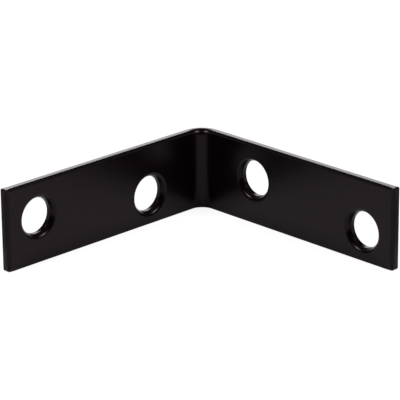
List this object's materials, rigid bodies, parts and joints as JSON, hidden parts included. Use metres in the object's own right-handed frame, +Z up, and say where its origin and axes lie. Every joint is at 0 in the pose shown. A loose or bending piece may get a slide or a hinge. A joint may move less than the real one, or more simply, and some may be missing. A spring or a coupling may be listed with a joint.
{
  "type": "corner brace bracket",
  "caption": "Flat steel strip bent square, with staggered countersunk holes, screwed inside a corner to hold two boards at a right angle.",
  "frame": {"origin": "foot of the outer corner, where the planes of the two seating faces and of the lower edge meet", "axes": "+X along one leg and -Y along the other, from the bend to their ends; +Z up across the strip, which stands on its long edge"},
  "size_m": [0.0508, 0.0508, 0.0159],
  "materials": {
    "black_paint": "satin black paint over steel, smooth, with softly rounded edges"
  },
  "bodies": {
    "root": {"brace": "black_paint"}
  },
  "joints": []
}
